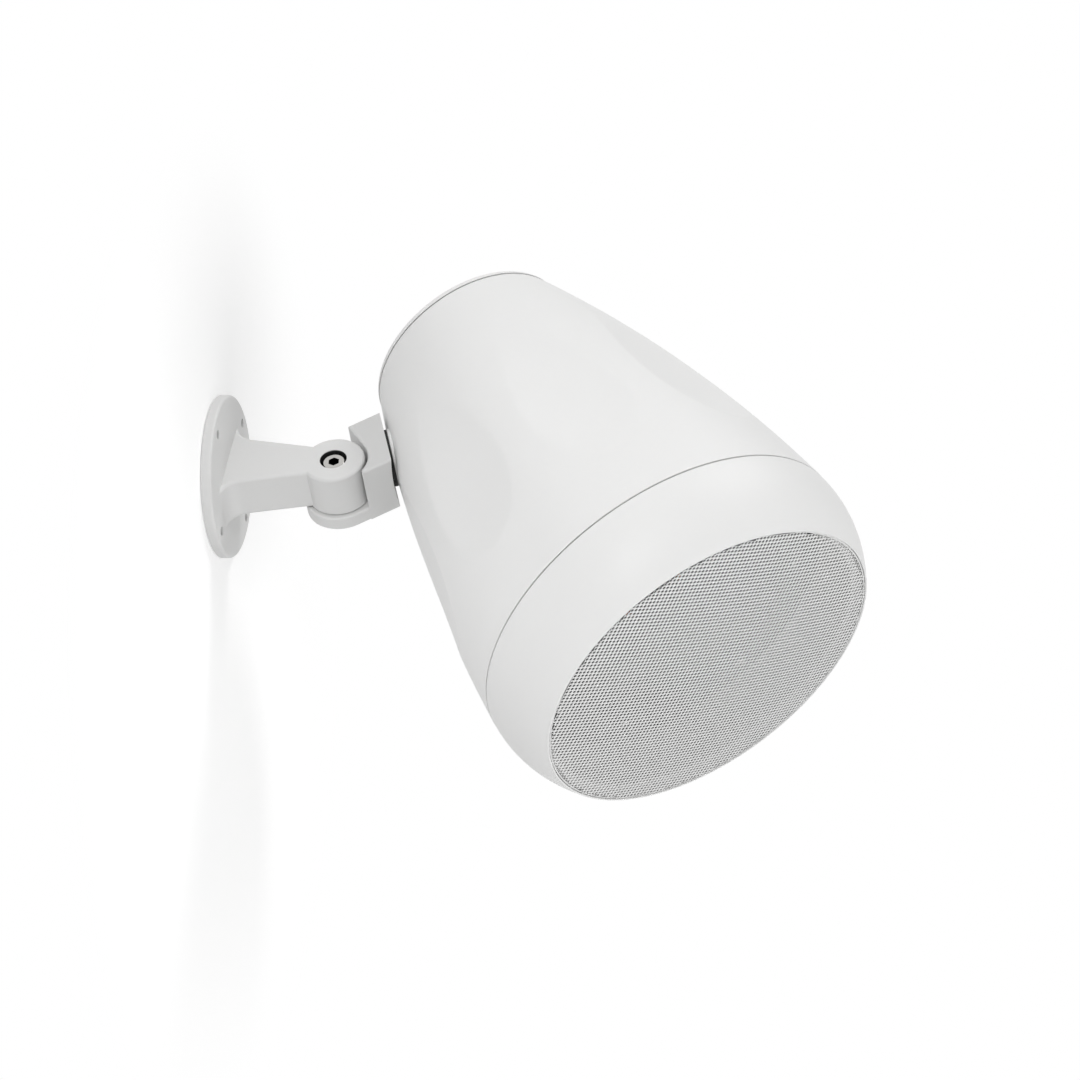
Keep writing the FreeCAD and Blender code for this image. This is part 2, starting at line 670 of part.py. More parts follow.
def grille():
    """A domed sheet with a turned-back skirt, perforated in a square lattice."""
    edge = RING_LIP_S - GRILLE_EDGE_DROP
    sheet = grille_dome(GRILLE_R, edge).cut(grille_dome(GRILLE_R - GRILLE_T, edge - GRILLE_T))
    steps = int(GRILLE_R / GRILLE_PITCH)
    punches = []
    for i in range(-steps, steps + 1):
        for j in range(-steps, steps + 1):
            if math.hypot(i, j) * GRILLE_PITCH < GRILLE_R - GRILLE_MARGIN:
                at = Vector(i * GRILLE_PITCH, j * GRILLE_PITCH, SKIRT_FOOT)
                punches.append(Part.makeCylinder(GRILLE_HOLE_R, GRILLE_SKIRT_L + GRILLE_DOME, at))
    return sheet.cut(punches)


def baffle():
    low = BAFFLE_SEAT_S - BAFFLE_T
    plate = tube(POCKET_R - SLIP_FIT, BAFFLE_HOLE_R, low, BAFFLE_SEAT_S)
    hole = Part.makeCylinder(SCREW_R + THREAD_FIT, BAFFLE_T, Vector(BAFFLE_SCREW_PCR, 0, low))
    plate = plate.cut(around(hole, BAFFLE_SCREWS))
    hole = Part.makeCylinder(SCREW_R + THREAD_FIT, BAFFLE_T, Vector(DRIVER_SCREW_PCR, 0, low))
    return plate.cut(around(hole, DRIVER_SCREWS))


def baffle_screws():
    screw = small_screw(BAFFLE_SCREW_L)
    screw.translate(Vector(BAFFLE_SCREW_PCR, 0, BAFFLE_SEAT_S - BAFFLE_T))
    return Part.makeCompound(around(screw, BAFFLE_SCREWS))


# Coaxial driver

FLANGE_LOW = BAFFLE_SEAT_S + DRIVER_GASKET_T
FLANGE_TOP = FLANGE_LOW + FLANGE_T
BASKET_LOW = FLANGE_LOW - BASKET_DEPTH
PLATE_LOW = BASKET_LOW - TOP_PLATE_T
MAGNET_LOW = PLATE_LOW - MAGNET_T
BACK_LOW = MAGNET_LOW - BACK_PLATE_T
SPIDER_SEAT = BASKET_LOW + SPIDER_SEAT_H
BASKET_INNER_BASE = BASKET_BASE_R - BASKET_WALL
FORMER_R = COIL_R + COIL_FORMER_T
COIL_LOW = MAGNET_LOW + COIL_FLOOR_GAP
COIL_TOP = COIL_LOW + COIL_L
CONE_EDGE_S = FLANGE_LOW


def basket_wall_r(along):
    """The inside radius of the basket's conical wall."""
    t = (along - BASKET_LOW) / (FLANGE_TOP - BASKET_LOW)
    return BASKET_INNER_BASE + (FLANGE_INNER_R - BASKET_INNER_BASE) * t


def screw_ring_holes(low, depth):
    hole = Part.makeCylinder(SCREW_R + THREAD_FIT, depth, Vector(DRIVER_SCREW_PCR, 0, low))
    return around(hole, DRIVER_SCREWS)


def driver_gasket():
    ring = tube(FLANGE_R - SLIP_FIT, DRIVER_GASKET_INNER_R, BAFFLE_SEAT_S, FLANGE_LOW)
    return ring.cut(screw_ring_holes(BAFFLE_SEAT_S, DRIVER_GASKET_T))


def driver_screws():
    screw = flipped(small_screw(DRIVER_SCREW_L), FLANGE_TOP)
    screw.translate(Vector(DRIVER_SCREW_PCR, 0, 0))
    return Part.makeCompound(around(screw, DRIVER_SCREWS))


def driver_basket():
    outer = basket_wall_r(FLANGE_LOW) + BASKET_WALL
    frame = turned(rs(FLANGE_R, FLANGE_TOP), rs(FLANGE_R, FLANGE_LOW), rs(outer, FLANGE_LOW),
                   rs(BASKET_BASE_R, BASKET_LOW), rs(BASKET_SEAT_R, BASKET_LOW),
                   rs(BASKET_SEAT_R, BASKET_LOW + BASKET_SEAT_T),
                   rs(BASKET_INNER_BASE, BASKET_LOW + BASKET_SEAT_T),
                   rs(BASKET_INNER_BASE, SPIDER_SEAT), rs(basket_wall_r(SPIDER_SEAT), SPIDER_SEAT),
                   rs(FLANGE_INNER_R, FLANGE_TOP))
    window_low = SPIDER_SEAT + BASKET_SEAT_T
    window = Part.makeBox(FLANGE_R, BASKET_WINDOW_W, BASKET_WINDOW_H,
                          Vector(BASKET_INNER_BASE, -BASKET_WINDOW_W / 2, window_low))
    frame = frame.cut(around(window, BASKET_WINDOWS, 180.0 / BASKET_WINDOWS))
    return frame.cut(screw_ring_holes(FLANGE_LOW, FLANGE_T))


def driver_surround():
    inner = CONE_OUTER_R - SURROUND_LIP
    foot = CONE_EDGE_S + CONE_T
    outer = FLANGE_INNER_R + SURROUND_RIM
    roll_mid = (CONE_OUTER_R + FLANGE_INNER_R) / 2
    crest = FLANGE_TOP + SURROUND_ROLL
    return turned(rs(inner, foot), rs(CONE_OUTER_R, foot),
                  ("arc", rs(roll_mid, crest), rs(FLANGE_INNER_R, FLANGE_TOP)),
                  rs(outer, FLANGE_TOP), rs(outer, FLANGE_TOP + SURROUND_T),
                  rs(FLANGE_INNER_R + SURROUND_T, FLANGE_TOP + SURROUND_T),
                  ("arc", rs(roll_mid, crest + SURROUND_T),
                   rs(CONE_OUTER_R - SURROUND_T, foot + SURROUND_T)),
                  rs(inner, foot + SURROUND_T))


def driver_cone():
    neck = FORMER_R + THREAD_FIT
    neck_s = COIL_TOP - 2 * CONE_T
    middle = (neck + CONE_OUTER_R) / 2
    level = (neck_s + CONE_EDGE_S) / 2 - CONE_SAG
    return turned(rs(neck, neck_s), ("curve", rs(middle, level), rs(CONE_OUTER_R, CONE_EDGE_S)),
                  rs(CONE_OUTER_R, CONE_EDGE_S + CONE_T),
                  ("curve", rs(middle, level + CONE_T), rs(neck, neck_s + CONE_T)))


def driver_spider():
    """A corrugated ring between the coil former and its seat in the basket."""
    inner = FORMER_R + THREAD_FIT
    outer = basket_wall_r(SPIDER_SEAT) - SLIP_FIT
    flat = outer - BASKET_INNER_BASE
    count = 2 * SPIDER_WAVES
    step = (outer - flat - inner) / count
    under = [rs(inner + step * i, SPIDER_SEAT + (SPIDER_WAVE_H if i % 2 else 0)) for i in range(count + 1)]
    upper = [point + Z_AXIS * SPIDER_T for point in reversed(under)]
    return turned(under[0], *under[1:], rs(outer, SPIDER_SEAT), rs(outer, SPIDER_SEAT + SPIDER_T), *upper)


def voice_coil():
    winding = FORMER_R + COIL_WINDING_T
    return turned(rs(COIL_R, COIL_LOW), rs(winding, COIL_LOW), rs(winding, COIL_LOW + COIL_WINDING_L),
                  rs(FORMER_R, COIL_LOW + COIL_WINDING_L), rs(FORMER_R, COIL_TOP), rs(COIL_R, COIL_TOP))


def driver_top_plate():
    return tube(TOP_PLATE_R, FORMER_R + COIL_WINDING_T + COIL_GAP, PLATE_LOW, BASKET_LOW)


def driver_magnet():
    return tube(MAGNET_R, MAGNET_INNER_R, MAGNET_LOW, PLATE_LOW)


def driver_back_plate():
    pole = COIL_R - POLE_GAP
    return turned(rs(0, BACK_LOW), rs(TOP_PLATE_R, BACK_LOW), rs(TOP_PLATE_R, MAGNET_LOW),
                  rs(pole, MAGNET_LOW), rs(pole, BASKET_LOW), rs(0, BASKET_LOW))


def tweeter_body():
    top = BASKET_LOW + TWEETER_L
    floor = top - TWEETER_SEAT_DEPTH
    rim = TWEETER_R + TWEETER_FLARE
    return turned(rs(0, BASKET_LOW), rs(TWEETER_R, BASKET_LOW), rs(TWEETER_R, floor - TWEETER_FLARE),
                  rs(rim, floor), rs(rim, top),
                  ("curve", rs(TWEETER_DOME_R, top), rs(TWEETER_DOME_R, floor)), rs(0, floor))


def tweeter_dome():
    floor = BASKET_LOW + TWEETER_L - TWEETER_SEAT_DEPTH
    skirt = TWEETER_DOME_R - THREAD_FIT
    return turned(rs(0, floor), rs(skirt, floor), ball_arc(skirt, TWEETER_DOME_H, floor))


# Crossover and line transformer, on posts of the rear cap

BOARD_TOP = BOARD_S + BOARD_T


def board_corners(height):
    corners = []
    for side_x in (-1, 1):
        for side_y in (-1, 1):
            x = side_x * (BOARD_X / 2 - BOARD_HOLE_INSET)
            y = side_y * (BOARD_Y / 2 - BOARD_HOLE_INSET)
            corners.append(Vector(x, y, height))
    return corners


def crossover_board():
    board = Part.makeBox(BOARD_X, BOARD_Y, BOARD_T, Vector(-BOARD_X / 2, -BOARD_Y / 2, BOARD_S))
    for at in board_corners(BOARD_S):
        board = board.cut(Part.makeCylinder(SCREW_R + THREAD_FIT, BOARD_T, at))
    return board


def board_screws():
    screws = []
    for at in board_corners(BOARD_TOP):
        screw = flipped(small_screw(BOARD_SCREW_L), BOARD_TOP)
        screw.translate(Vector(at.x, at.y, 0))
        screws.append(screw)
    return Part.makeCompound(screws)


def transformer_core():
    """Stacked laminations: an outer frame with a middle limb."""
    corner = Vector(CORE_AT_X - CORE_X / 2, -CORE_Y / 2, BOARD_TOP)
    core = Part.makeBox(CORE_X, CORE_Y, CORE_H, corner)
    window_x = (CORE_X - 2 * CORE_LIMB) / 2
    window_h = CORE_H - CORE_LIMB
    for side in (-1, 1):
        left = CORE_AT_X + side * (CORE_LIMB + window_x) / 2 - window_x / 2
        low = BOARD_TOP + CORE_LIMB / 2
        core = core.cut(Part.makeBox(window_x, CORE_Y, window_h, Vector(left, -CORE_Y / 2, low)))
    return core


def transformer_winding():
    """The wound bobbin: it fills the core's windows and stands out at both faces."""
    window_x = (CORE_X - 2 * CORE_LIMB) / 2 - SLIP_FIT
    size_x = CORE_LIMB + 2 * window_x
    size_y = CORE_Y + 2 * COIL_COVER
    size_h = CORE_H - CORE_LIMB - 2 * SLIP_FIT
    low = BOARD_TOP + CORE_LIMB / 2 + SLIP_FIT
    wound = Part.makeBox(size_x, size_y, size_h, Vector(CORE_AT_X - size_x / 2, -size_y / 2, low))
    upright = lambda box: box.YMax - box.YMin < 0.01 and box.XMax - box.XMin < 0.01
    wound = rounded(wound, COIL_COVER / 2, upright)
    limb = CORE_LIMB + 2 * SLIP_FIT
    limb_y = CORE_Y + 2 * SLIP_FIT
    return wound.cut(Part.makeBox(limb, limb_y, size_h, Vector(CORE_AT_X - limb / 2, -limb_y / 2, low)))


def crossover_inductor():
    coil = tube(INDUCTOR_R, INDUCTOR_BORE_R, BOARD_TOP, BOARD_TOP + INDUCTOR_H)
    coil.translate(Vector(PARTS_AT_X, -PARTS_STEP, 0))
    return coil


def crossover_capacitors():
    cans = []
    for i in range(2):
        foot = Vector(PARTS_AT_X + i * CAPACITOR_STEP, 0, BOARD_TOP)
        can = Part.makeCylinder(CAPACITOR_R, CAPACITOR_H, foot)
        cans.append(rounded(can, CAPACITOR_EDGE, lambda box: box.ZMin > BOARD_TOP + CAPACITOR_H - 0.01))
    return Part.makeCompound(cans)


def terminal_block():
    corner = Vector(PARTS_AT_X - TERMINAL_X / 2, PARTS_STEP - TERMINAL_Y / 2, BOARD_TOP)
    block = Part.makeBox(TERMINAL_X, TERMINAL_Y, TERMINAL_H, corner)
    for side in (-0.25, 0.25):
        at = Vector(PARTS_AT_X, PARTS_STEP + side * TERMINAL_Y, BOARD_TOP + TERMINAL_H / 2)
        block = block.cut(Part.makeCylinder(TERMINAL_HOLE_R, TERMINAL_H / 2, at))
    return block


# Placing and writing

SWIVEL_FRAME = Placement(Vector(KNUCKLE_X, 0, 0), Rotation(Z_AXIS, PAN_DEG))
LEVEL_AXES = Rotation(X_AXIS * -1, Z_AXIS * -1, Y_AXIS * -1, "ZXY")
LEVEL_FRAME = Placement(Vector(WALL_FROM_KNUCKLE + outer_radius(PIVOT_S), PIVOT_S, PIVOT_Z), LEVEL_AXES)
TILT_FRAME = Placement(ORIGIN, Rotation(PIVOT_AXIS, TILT_DEG), PIVOT_POINT)
SPEAKER_FRAME = SWIVEL_FRAME.multiply(TILT_FRAME).multiply(LEVEL_FRAME)

BRACKET_PIECES = (wall_bracket,)
SWIVEL_PIECES = (swivel_block, knuckle_bolt, knuckle_nut, pivot_bolt, pivot_washer, pivot_nut)
SPEAKER_PIECES = (housing, pivot_backing, rear_cap, rear_seal, rear_cap_screws, gland_body, gland_nut,
                  gland_seal, gland_locknut, front_ring, ring_gasket, grille, baffle, baffle_screws,
                  driver_gasket, driver_screws, driver_basket, driver_surround, driver_cone, driver_spider,
                  voice_coil, driver_top_plate, driver_magnet, driver_back_plate, tweeter_body, tweeter_dome,
                  crossover_board, board_screws, transformer_core, transformer_winding, crossover_inductor,
                  crossover_capacitors, terminal_block)


def write(pieces, frame):
    for piece in pieces:
        shape = piece().transformed(frame.toMatrix(), True)
        shape.exportStep("parts/" + piece.__name__ + ".step")


os.makedirs("parts", exist_ok=True)
write(BRACKET_PIECES, Placement())
write(SWIVEL_PIECES, SWIVEL_FRAME)
write(SPEAKER_PIECES, SPEAKER_FRAME)
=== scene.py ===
import json
import math
import bmesh
import bpy
from mathutils import Matrix, Vector


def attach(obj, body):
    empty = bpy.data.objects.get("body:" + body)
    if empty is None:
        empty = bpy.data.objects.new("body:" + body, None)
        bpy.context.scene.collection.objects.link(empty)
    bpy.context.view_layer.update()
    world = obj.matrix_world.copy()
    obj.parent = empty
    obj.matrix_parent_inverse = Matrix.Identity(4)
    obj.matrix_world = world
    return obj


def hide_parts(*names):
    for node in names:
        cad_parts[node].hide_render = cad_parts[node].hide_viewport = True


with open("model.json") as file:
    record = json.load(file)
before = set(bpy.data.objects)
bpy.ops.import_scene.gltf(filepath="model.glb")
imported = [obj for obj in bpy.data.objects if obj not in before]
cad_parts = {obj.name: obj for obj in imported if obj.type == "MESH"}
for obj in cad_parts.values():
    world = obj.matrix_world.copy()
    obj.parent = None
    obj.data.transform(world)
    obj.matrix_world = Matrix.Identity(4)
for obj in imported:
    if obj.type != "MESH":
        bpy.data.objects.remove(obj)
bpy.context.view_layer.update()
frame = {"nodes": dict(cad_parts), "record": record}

# The object's sizes are in millimetres, as in the part's source. The projector is drawn about its own axis,
# from the rear seam at height 0 towards the grille, and then turned to its pan and tilt.
MM = 0.001
PAN = math.radians(36.0)
TILT = math.radians(10.4)
KNUCKLE_X = 69.0
WALL_FROM_KNUCKLE = 35.9
PIVOT_S = 41.8
PIVOT_Z = -5.0
PLATE_R = 48.0
WELL_R = 8.05
WELL_TOP = 13.3
SOCKET_R = 3.5
SOCKET_TOP = 11.2

REAR_R = 63.0
MID_R = 97.3
FRONT_R = 116.0
HOUSING_L = 223.0
HOUSING_WALL = 4.2
HOUSING_EDGE = 0.35
REAR_FLANGE_T = 5.0
REAR_OPENING_R = 46.0
BOSS_R = 17.5
BOSS_EDGE = 1.0
BOSS_DEPTH = 9.0
PIVOT_HOLE_R = 4.05

SCOOPS = 8
SCOOP_TIP_S = 43.0
SCOOP_END_S = 183.5
SCOOP_DEPTH = 5.6
SCOOP_SWEEP_R = 323.0
SCOOP_TIP_RISE = 30.0
SCOOP_LIFT = 0.15
SCOOP_SOFT = 0.3
SCOOP_TRIM = 0.02

SEAM_W = 0.8
RING_FOOT = HOUSING_L + SEAM_W
RING_LIP_S = 272.0
RING_LIP_R = 104.6
RING_LIP = 0.8
RING_SHOULDER = (118.5, 248.8)
RING_INNER_R = 98.0
BAFFLE_SEAT_S = 232.0
POCKET_R = 107.7
SPIGOT_R = 110.5
SPIGOT_FOOT = 214.0

GRILLE_BORE_R = 103.5
GRILLE_BORE_EDGE = 0.2
GRILLE_R = 103.2
GRILLE_EDGE_S = 271.4
GRILLE_DOME = 5.0
GRILLE_T = 0.5
GRILLE_RIM_W = 0.9
GRILLE_RIM_SINK = 0.02
GRILLE_RIM_EDGE = 0.2
SKIRT_T = 1.2
SKIRT_FOOT = 265.4
HOLE_PITCH = 2.45
HOLE_R = 0.98
HOLE_SIDES = 8
LATTICE_R = 102.0
LATTICE_TURN = math.radians(60)

# How finely the turned pieces are divided
HOUSING_STEPS = 400
HOUSING_SIDE_POINTS = 122
HOUSING_INSIDE_POINTS = 24
BOSS_STEPS = 96
RING_STEPS = 360
RING_SIDE_POINTS = 48
RIM_STEPS = 240
EDGE_POINTS = 3
BOSS_EDGE_POINTS = 4
LIP_POINTS = 6


def outer_radius(s):
    """The housing's plain outside, a parabola through its rear, middle and front radius."""
    t = s / HOUSING_L
    return REAR_R + (FRONT_R - REAR_R) * t + 4 * (MID_R - (REAR_R + FRONT_R) / 2) * t * (1 - t)


PIVOT_TURN = math.atan(outer_radius(PIVOT_S + 0.5) - outer_radius(PIVOT_S - 0.5))
PIVOT_AXIS = Vector((math.cos(PIVOT_TURN), -math.sin(PIVOT_TURN), 0))
PIVOT_POINT = Vector((WALL_FROM_KNUCKLE, 0, PIVOT_Z))
LEVEL = Matrix(((-1, 0, 0), (0, 0, -1), (0, -1, 0))).transposed().to_4x4()
LEVEL.translation = Vector((WALL_FROM_KNUCKLE + outer_radius(PIVOT_S), PIVOT_S, PIVOT_Z))
TO_PIVOT = Matrix.Translation(PIVOT_POINT)
TILTED = TO_PIVOT @ Matrix.Rotation(TILT, 4, PIVOT_AXIS) @ TO_PIVOT.inverted()
SWIVEL = Matrix.Translation(Vector((KNUCKLE_X, 0, 0))) @ Matrix.Rotation(PAN, 4, "Z")
SPEAKER = Matrix.Scale(MM, 4) @ SWIVEL @ TILTED @ LEVEL


# Shader maths

class Signal:
    """A socket's value as it changes over a surface. Arithmetic on it adds Math nodes."""

    def __init__(self, nodes, socket):
        self.nodes = nodes
        self.socket = socket

    def math(self, operation, first, second):
        node = self.nodes.add("Math", {"operation": operation}, {0: first, 1: second})
        return Signal(self.nodes, node.outputs["Value"])

    def __add__(self, other):
        return self.math("ADD", self, other)

    def __sub__(self, other):
        return self.math("SUBTRACT", self, other)

    def __rsub__(self, other):
        return self.math("SUBTRACT", other, self)

    def __mul__(self, other):
        return self.math("MULTIPLY", self, other)

    __radd__ = __add__
    __rmul__ = __mul__


class Nodes:
    """The node tree of a material or of the world."""

    def __init__(self, owner):
        owner.use_nodes = True
        self.tree = owner.node_tree

    def add(self, kind, settings, sockets):
        """A new node: its settings are made first, then its sockets get their values or links."""
        node = self.tree.nodes.new("ShaderNode" + kind)
        for name, value in settings.items():
            setattr(node, name, value)
        self.feed(node, sockets)
        return node

    def feed(self, node, sockets):
        for name, value in sockets.items():
            if isinstance(value, Signal):
                self.tree.links.new(value.socket, node.inputs[name])
            else:
                node.inputs[name].default_value = value

    def out(self, node, name):
        return Signal(self, node.outputs[name])

    def place(self):
        return self.out(self.add("TexCoord", {}, {}), "Object")

    def noise(self, scale, detail):
        node = self.add("TexNoise", {}, {"Vector": self.place(), "Scale": scale, "Detail": detail})
        return self.out(node, "Fac")

    def rise(self, value, low, high, shape="LINEAR"):
        """0 below low, 1 above high."""
        node = self.add("MapRange", {"interpolation_type": shape},
                        {"Value": value, "From Min": low, "From Max": high})
        return self.out(node, "Result")

    def distance(self, place, centre):
        return self.out(self.add("VectorMath", {"operation": "DISTANCE"}, {0: place, 1: centre}), "Value")

    def mix_shader(self, factor, first, second):
        return self.out(self.add("MixShader", {}, {"Fac": factor, 1: first, 2: second}), "Shader")

    def seen_directly(self):
        """1 for rays from the camera, and for reflections and clear pieces, which show what it sees."""
        path = self.add("LightPath", {}, {})
        seen = self.out(path, "Is Camera Ray") + self.out(path, "Is Glossy Ray")
        return self.rise(seen + self.out(path, "Is Transmission Ray"), 0, 1)


# Finishes

GRAIN_DETAIL = 3
MOTTLE_SCALE = 14
MOTTLE_DETAIL = 4
MOTTLE_GAIN = 5
WELL_BLUR = 0.1
WELL_FADE = 0.5


def finish(name, color, roughness, metallic=0.0, grain=None, mottle=0.0):
    """A plain finish. grain is its bumps' width and depth, and mottle is how far its gloss varies."""
    made = bpy.data.materials.new(name)
    nodes = Nodes(made)
    shader = nodes.tree.nodes["Principled BSDF"]
    nodes.feed(shader, {"Base Color": (*color, 1), "Roughness": roughness, "Metallic": metallic})
    if grain:
        width, depth = grain
        height = nodes.noise(1 / (width * MM), GRAIN_DETAIL)
        bump = nodes.add("Bump", {}, {"Height": height, "Distance": depth * MM, "Strength": 1})
        nodes.feed(shader, {"Normal": nodes.out(bump, "Normal")})
    if mottle:
        patches = (nodes.noise(MOTTLE_SCALE, MOTTLE_DETAIL) - 0.5) * MOTTLE_GAIN
        nodes.feed(shader, {"Roughness": roughness + mottle * patches})
    return made


def paint_shade_in_well(made, radius, top, painted_shade):
    """Paints shade into a finish's colour inside a round well that goes down from a height, round the
    knuckle bolt's axis: a painted shadow for the recess, not a colour of the part.
    """
    nodes = Nodes(made)
    shader = nodes.tree.nodes["Principled BSDF"]
    apart = nodes.add("SeparateXYZ", {}, {"Vector": nodes.place()})
    level = nodes.add("CombineXYZ", {}, {"X": nodes.out(apart, "X"), "Y": nodes.out(apart, "Y")})
    reach = nodes.distance(nodes.out(level, "Vector"), (KNUCKLE_X * MM, 0, 0))
    outside = nodes.rise(reach, radius * MM, (radius + WELL_BLUR) * MM)
    above = nodes.rise(nodes.out(apart, "Z"), (top - WELL_FADE) * MM, top * MM)
    blend = nodes.add("Mix", {"data_type": "RGBA"}, {"Factor": (1 - outside) * (1 - above)})
    blend.inputs["A"].default_value = shader.inputs["Base Color"].default_value
    blend.inputs["B"].default_value = (painted_shade, painted_shade, painted_shade, 1)
    nodes.feed(shader, {"Base Color": nodes.out(blend, "Result")})


FINISH = {
    "housing_paint": finish("housing_paint", (0.77, 0.77, 0.765), 0.5, grain=(0.5, 0.012), mottle=0.05),
    "bracket_paint": finish("bracket_paint", (0.66, 0.66, 0.655), 0.48, grain=(0.9, 0.03), mottle=0.06),
    "grille_paint": finish("grille_paint", (0.74, 0.74, 0.735), 0.5, grain=(0.4, 0.01)),
    "screw_steel": finish("screw_steel", (0.46, 0.46, 0.45), 0.28, 1.0, grain=(0.3, 0.004)),
    "plated_steel": finish("plated_steel", (0.56, 0.56, 0.54), 0.38, 1.0),
    "core_steel": finish("core_steel", (0.30, 0.30, 0.31), 0.5, 1.0),
    "black_rubber": finish("black_rubber", (0.018, 0.018, 0.018), 0.75, grain=(0.4, 0.01)),
    "black_plastic": finish("black_plastic", (0.022, 0.022, 0.023), 0.5, grain=(0.4, 0.008)),
    "basket_paint": finish("basket_paint", (0.03, 0.03, 0.03), 0.55),
    "cone_paper": finish("cone_paper", (0.028, 0.028, 0.028), 0.85, grain=(0.7, 0.05)),
    "spider_cloth": finish("spider_cloth", (0.42, 0.30, 0.13), 0.9, grain=(0.5, 0.05)),
    "copper_wire": finish("copper_wire", (0.72, 0.36, 0.18), 0.35, 1.0),
    "ferrite": finish("ferrite", (0.06, 0.06, 0.065), 0.6),
    "board_green": finish("board_green", (0.03, 0.16, 0.06), 0.4),
}
BRIGHT_SCREW = finish("bright_screw", (0.52, 0.51, 0.49), 0.22, 1.0, grain=(0.3, 0.003))
# Painted shade: the bracket's counterbore round the knuckle bolt and the socket in the bolt's head are
# darkened in colour, standing in for the shadow inside them.
paint_shade_in_well(FINISH["bracket_paint"], WELL_R, WELL_TOP, 0.012)
paint_shade_in_well(BRIGHT_SCREW, SOCKET_R, SOCKET_TOP, 0.02)

for part in frame["record"]["subparts"]:
    node = frame["nodes"][part["node"]]
    node.data.materials.clear()
    node.data.materials.append(FINISH[part["material_slot"]])
frame["nodes"]["knuckle_bolt"].data.materials[0] = BRIGHT_SCREW
frame["nodes"]["tweeter_dome"].data.materials[0] = FINISH["cone_paper"]


# New pieces

def turned(profile, steps, place=Matrix()):
    """A closed profile of (radius, height) points, spun once round the axis of a placing."""
    mesh = bmesh.new()
    points = [mesh.verts.new((radius, 0, height)) for radius, height in profile]
    edges = [mesh.edges.new(pair) for pair in zip(points, points[1:] + points[:1])]
    bmesh.ops.spin(mesh, geom=points + edges, axis=(0, 0, 1), angle=2 * math.pi, steps=steps,
                   use_merge=True)
    bmesh.ops.recalc_face_normals(mesh, faces=mesh.faces)
    mesh.transform(place)
    return mesh


def join(mesh, other):
    """Adds another mesh to a mesh."""
    data = bpy.data.meshes.new("joined")
    other.to_mesh(data)
    other.free()
    mesh.from_mesh(data)
    bpy.data.meshes.remove(data)


def show(name, mesh, slot, node, crease):
    """Shows a mesh drawn in the projector's frame in place of a CAD node of the projector."""
    mesh.transform(SPEAKER)
    data = bpy.data.meshes.new(name)
    mesh.to_mesh(data)
    mesh.free()
    data.shade_smooth()
    data.set_sharp_from_angle(angle=math.radians(crease))
    data.materials.append(FINISH[slot])
    made = bpy.data.objects.new(name, data)
    bpy.context.scene.collection.objects.link(made)
    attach(made, "speaker")
    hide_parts(node)


def bend(start, control, end, steps):
    """Points of a quadratic curve, without its last one."""
    points = []
    for i in range(steps):
        u = i / steps
        points.append(tuple((1 - u) ** 2 * a + 2 * u * (1 - u) * b + u * u * c
                            for a, b, c in zip(start, control, end)))
    return points


def quarter(centre, radius, start, steps):
    """Points of a quarter circle."""
    points = []
    for i in range(steps + 1):
        angle = start + math.pi / 2 * i / steps
        points.append((centre[0] + radius * math.cos(angle), centre[1] + radius * math.sin(angle)))
    return points


def spaced(start, end, count):
    """Evenly spaced numbers, with both ends."""
    return [start + (end - start) * i / (count - 1) for i in range(count)]


def scoop_depth(angle, s):
    """How far the scooped wall lies inside the plain one, with a softened border."""
    t = (s - SCOOP_TIP_S) / (SCOOP_END_S - SCOOP_TIP_S)
    if t < 0:
        floor = -SCOOP_TIP_RISE * t * t
    else:
        floor = SCOOP_DEPTH * 27 / 4 * t * t * (1 - t)
    step = 2 * math.pi / SCOOPS
    off = (angle + step / 2) % step - step / 2
    radius = outer_radius(s)
    across = radius * math.sin(off)
    inside = floor - SCOOP_LIFT - across * across / 2 * (1 / radius + 1 / SCOOP_SWEEP_R)
    return max(0.0, (inside + math.hypot(inside, SCOOP_SOFT)) / 2 - SCOOP_TRIM)


def housing():
    """The bulged taper, turned and then pressed in at its scoops, with the round seat of the tilt pivot."""
    foot = quarter((REAR_R - HOUSING_EDGE, HOUSING_EDGE), HOUSING_EDGE, -math.pi / 2, EDGE_POINTS)
    side = [(outer_radius(s), s) for s in spaced(1.0, HOUSING_L - 1.0, HOUSING_SIDE_POINTS)]
    brim = quarter((FRONT_R - HOUSING_EDGE, HOUSING_L - HOUSING_EDGE), HOUSING_EDGE, 0, EDGE_POINTS)
    inside = [(outer_radius(s) - HOUSING_WALL, s)
              for s in spaced(HOUSING_L, REAR_FLANGE_T, HOUSING_INSIDE_POINTS)]
    opening = [(REAR_OPENING_R, REAR_FLANGE_T), (REAR_OPENING_R, 0)]
    shell = turned(foot + side + brim + inside + opening, HOUSING_STEPS)
    for vert in shell.verts:
        x, y, s = vert.co
        keep = 1 - scoop_depth(math.atan2(y, x), s) / math.hypot(x, y)
        vert.co = (x * keep, y * keep, s)
    seat = [(PIVOT_HOLE_R, -BOSS_DEPTH), (PIVOT_HOLE_R, 0)]
    seat += reversed(quarter((BOSS_R - BOSS_EDGE, -BOSS_EDGE), BOSS_EDGE, 0, BOSS_EDGE_POINTS))
    seat += [(BOSS_R, -BOSS_DEPTH)]
    outwards = Matrix.Rotation(math.pi / 2 + PIVOT_TURN, 4, "Y")
    stand = Matrix.Translation((outer_radius(PIVOT_S), 0, PIVOT_S)) @ outwards
    join(shell, turned(seat, BOSS_STEPS, stand))
    show("housing_shell", shell, "housing_paint", "housing", 50.0)


